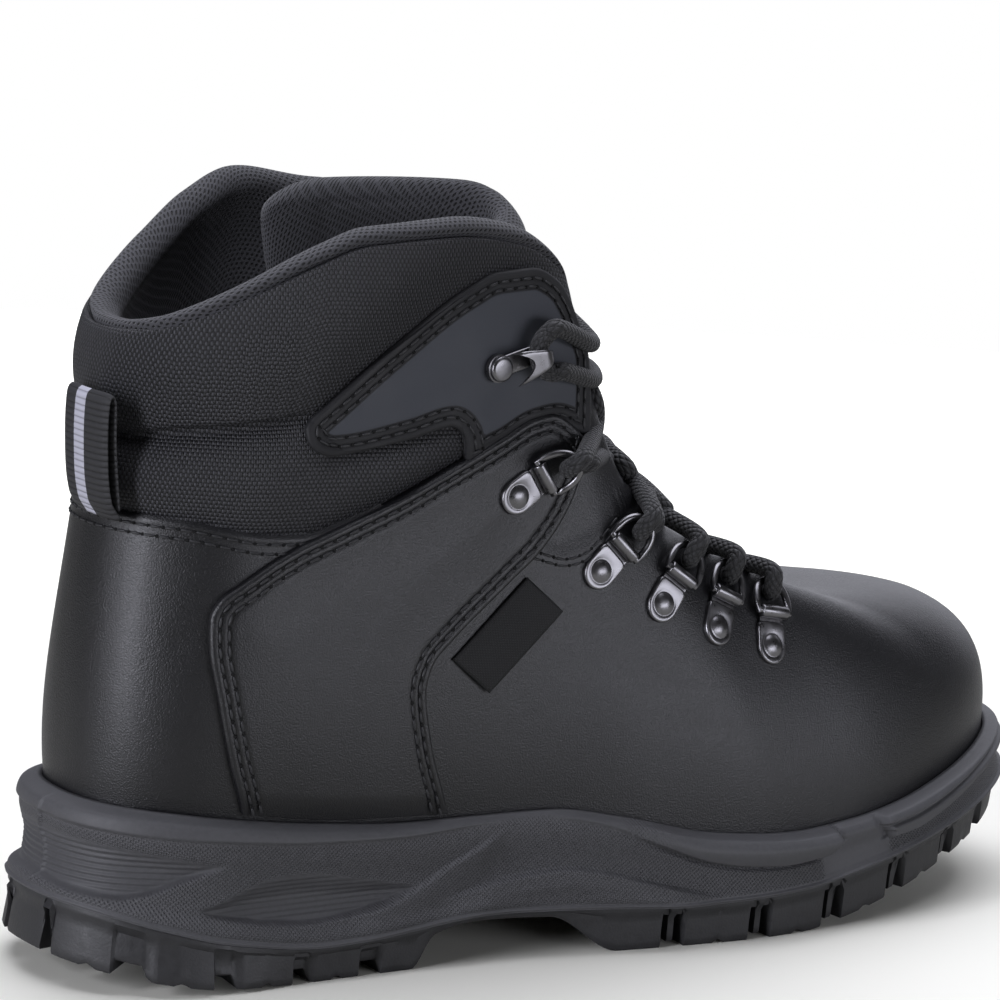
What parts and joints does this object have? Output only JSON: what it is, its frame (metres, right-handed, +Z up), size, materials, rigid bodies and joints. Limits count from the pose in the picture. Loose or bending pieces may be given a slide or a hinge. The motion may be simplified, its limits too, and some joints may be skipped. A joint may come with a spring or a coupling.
{
  "type": "safety boot",
  "caption": "Right-foot ankle-high safety boot with a hollow leather upper, padded collar and tongue, lace rings and hooks, a rear pull loop and a lugged moulded sole.",
  "frame": {"origin": "on the floor under the middle of the boot's bounding box", "axes": "+X along the foot towards the toe, +Y towards the inner side of the foot, +Z up"},
  "size_m": [0.285, 0.1044, 0.1837],
  "materials": {
    "black_leather": "near-black greased leather with a soft sheen",
    "grey_nubuck": "blue-grey nubuck, matt",
    "gunmetal_steel": "polished gunmetal steel",
    "insole_foam": "black fleece on foam",
    "lace_braid": "black round braid",
    "loop_webbing": "black woven webbing",
    "midsole_foam": "dark grey moulded polyurethane with a fine grain",
    "outsole_rubber": "black moulded rubber, matt",
    "tongue_knit": "black padded knit"
  },
  "bodies": {
    "root": {"eyestay_inner": "grey_nubuck", "eyestay_outer": "grey_nubuck", "insole": "insole_foam", "lace_bar_low": "lace_braid", "lace_bar_top": "lace_braid", "lace_cross_1": "lace_braid", "lace_cross_2": "lace_braid", "lace_cross_3": "lace_braid", "lace_cross_4": "lace_braid", "lace_cross_5": "lace_braid", "lace_hook_inner": "gunmetal_steel", "lace_hook_outer": "gunmetal_steel", "midsole": "midsole_foam", "outsole": "outsole_rubber", "pull_loop": "loop_webbing", "quarter_inner": "black_leather", "quarter_outer": "black_leather", "ring_1_inner": "gunmetal_steel", "ring_1_inner_plate": "gunmetal_steel", "ring_1_outer": "gunmetal_steel", "ring_1_outer_plate": "gunmetal_steel", "ring_2_inner": "gunmetal_steel", "ring_2_inner_plate": "gunmetal_steel", "ring_2_outer": "gunmetal_steel", "ring_2_outer_plate": "gunmetal_steel", "ring_3_inner": "gunmetal_steel", "ring_3_inner_plate": "gunmetal_steel", "ring_3_outer": "gunmetal_steel", "ring_3_outer_plate": "gunmetal_steel", "ring_4_inner": "gunmetal_steel", "ring_4_inner_plate": "gunmetal_steel", "ring_4_outer": "gunmetal_steel", "ring_4_outer_plate": "gunmetal_steel", "ring_5_inner": "gunmetal_steel", "ring_5_inner_plate": "gunmetal_steel", "ring_5_outer": "gunmetal_steel", "ring_5_outer_plate": "gunmetal_steel", "side_tag": "loop_webbing", "tongue": "tongue_knit", "upper": "black_leather"}
  },
  "joints": []
}
